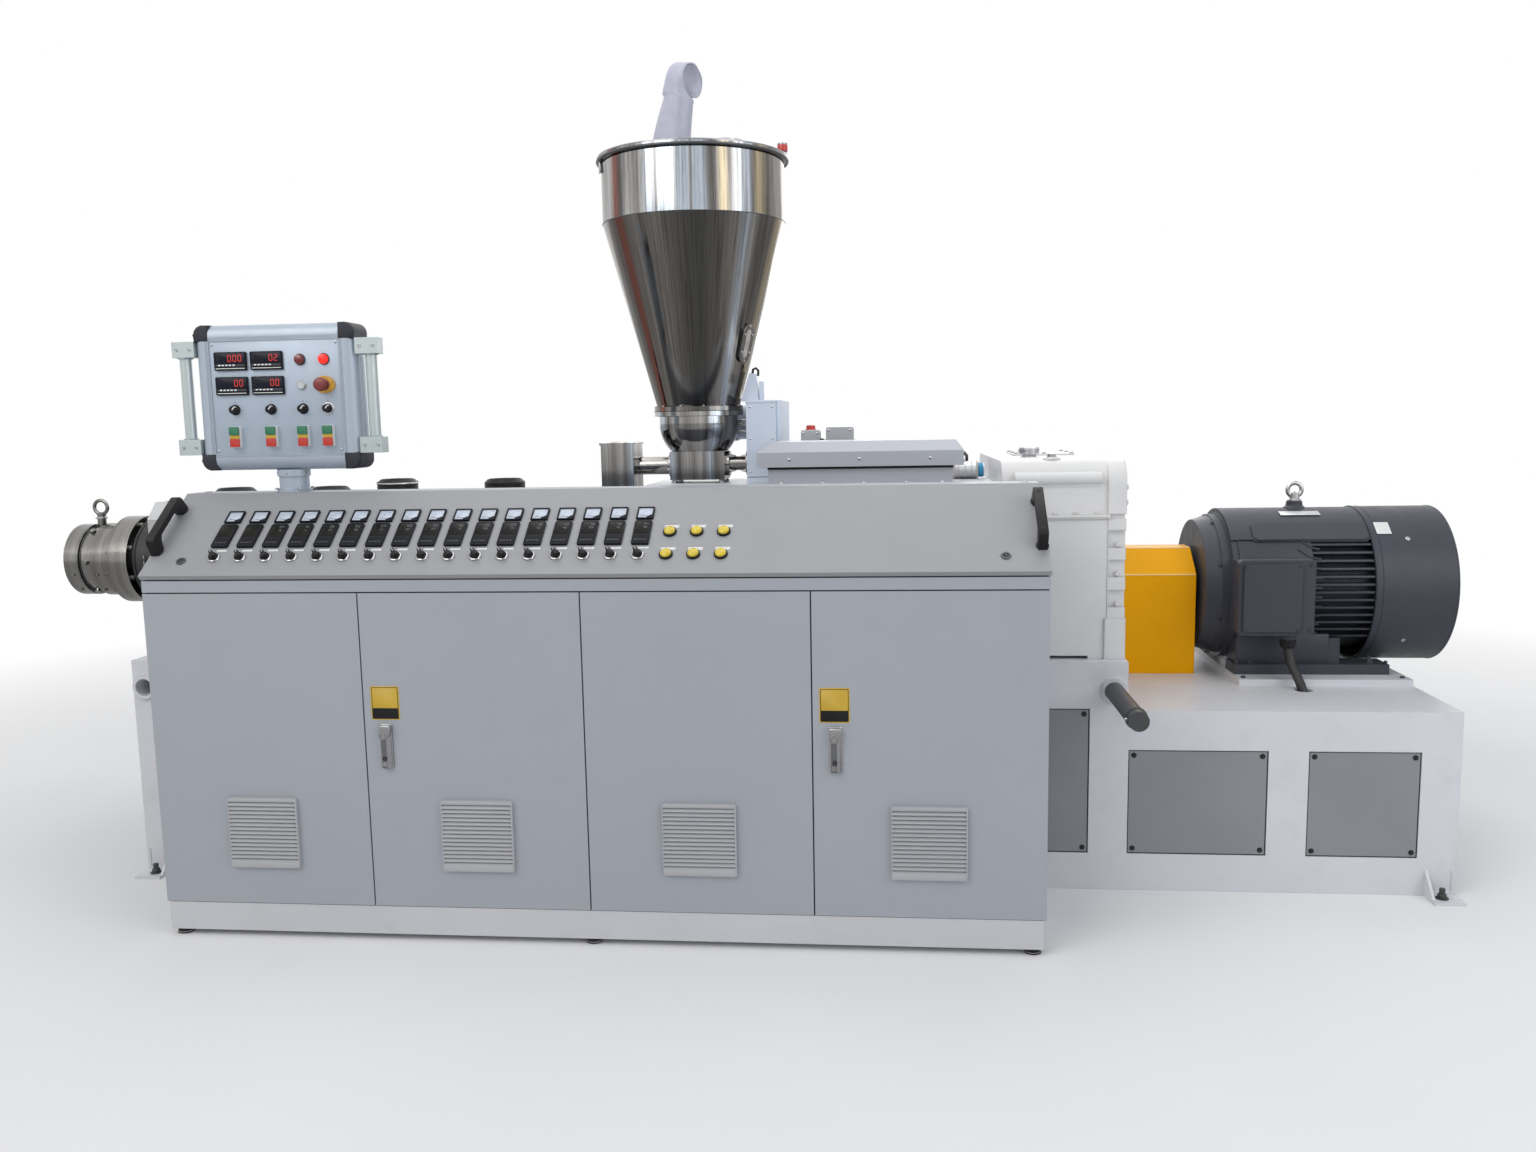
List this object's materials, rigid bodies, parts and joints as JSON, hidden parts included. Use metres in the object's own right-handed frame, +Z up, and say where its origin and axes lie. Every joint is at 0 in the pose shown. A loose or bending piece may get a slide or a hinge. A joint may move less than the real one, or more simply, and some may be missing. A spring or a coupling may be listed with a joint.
{
  "type": "twin screw plastic extruder",
  "caption": "Conical twin screw extruder: welded base, barrel under a cover, hopper and feeder, gearbox, guarded coupling, fan cooled motor, and a cabinet with doors and a sloping console.",
  "frame": {"origin": "on the floor, in the middle of the base's length and depth, below the screw axis", "axes": "+X along the screws from the outlet to the motor, +Y away from the console, +Z up"},
  "size_m": [5.188, 2.12, 2.8311],
  "materials": {
    "frame_paint": "satin white paint",
    "panel_paint": "satin grey paint",
    "bar_steel": "worn grey paint",
    "cabinet_paint": "fine texture light grey paint",
    "zinc_plate": "zinc plated sheet",
    "grille_plastic": "light grey moulded plastic",
    "lock_metal": "satin chrome plated die casting",
    "instrument_plastic": "black moulded plastic",
    "switch_plastic": "black moulded plastic",
    "black_plastic": "black moulded plastic",
    "post_paint": "satin light grey paint",
    "box_aluminium": "anodised aluminium",
    "grip_metal": "satin aluminium",
    "barrel_steel": "turned steel with oil film",
    "heater_steel": "dark cast aluminium heater, heat stained",
    "cover_steel": "brushed stainless sheet",
    "hood_paint": "satin grey paint",
    "gear_paint": "semi-gloss white paint on a casting",
    "fitting_metal": "light grey die cast metal",
    "yellow_paint": "gloss yellow paint",
    "motor_paint": "semi-gloss dark grey paint",
    "cable_rubber": "black rubber sheath",
    "hopper_steel": "polished stainless steel",
    "sock_fabric": "thin white woven filter cloth",
    "feed_paint": "satin light grey paint"
  },
  "bodies": {
    "root": {"base_frame": "frame_paint", "base_panels": "panel_paint", "lifting_bar": "bar_steel", "cabinet_plinth": "cabinet_paint", "cabinet_shell": "cabinet_paint", "cabinet_plates": "zinc_plate", "operator_post": "post_paint", "operator_box": "box_aluminium", "operator_controls": "switch_plastic", "operator_grips": "grip_metal", "barrel": "barrel_steel", "heater_bands": "heater_steel", "barrel_guard": "cover_steel", "barrel_caps": "black_plastic", "barrel_support": "frame_paint", "die_adapter": "barrel_steel", "transfer_box": "frame_paint", "hood": "hood_paint", "gearbox": "gear_paint", "drive_fittings": "fitting_metal", "coupling_guard": "yellow_paint", "coupling": "barrel_steel", "motor_frame": "motor_paint", "motor_cowl": "motor_paint", "motor_cable": "cable_rubber", "hopper": "hopper_steel", "hopper_lid": "hopper_steel", "filter_sock": "sock_fabric", "feed_bowl": "hopper_steel", "drop_duct": "hopper_steel", "feed_drive": "feed_paint"},
    "door_1": {"door_1": "cabinet_paint", "door_1_grille": "grille_plastic"},
    "door_2": {"door_2": "cabinet_paint", "door_2_grille": "grille_plastic", "door_2_handle": "lock_metal"},
    "door_3": {"door_3": "cabinet_paint", "door_3_grille": "grille_plastic"},
    "door_4": {"door_4": "cabinet_paint", "door_4_grille": "grille_plastic", "door_4_handle": "lock_metal"},
    "lid": {"console_lid": "cabinet_paint", "lid_instruments": "instrument_plastic", "lid_switches": "switch_plastic", "lid_handles": "black_plastic"}
  },
  "joints": [
    {"name": "door_1_hinge", "type": "hinge", "parent": "root", "child": "door_1", "pos_m": [-1.827, -1.106, 0.6], "axis": [0, 0, -1], "range_deg": [0, 105]},
    {"name": "door_2_hinge", "type": "hinge", "parent": "root", "child": "door_2", "pos_m": [-0.479, -1.106, 0.6], "axis": [0, 0, 1], "range_deg": [0, 84]},
    {"name": "door_3_hinge", "type": "hinge", "parent": "root", "child": "door_3", "pos_m": [-0.475, -1.106, 0.6], "axis": [0, 0, -1], "range_deg": [0, 84]},
    {"name": "door_4_hinge", "type": "hinge", "parent": "root", "child": "door_4", "pos_m": [0.873, -1.106, 0.6], "axis": [0, 0, 1], "range_deg": [0, 105]},
    {"name": "lid_hinge", "type": "hinge", "parent": "root", "child": "lid", "pos_m": [-0.477, -0.819, 1.3655], "axis": [-1, 0, 0], "range_deg": [0, 65]}
  ]
}
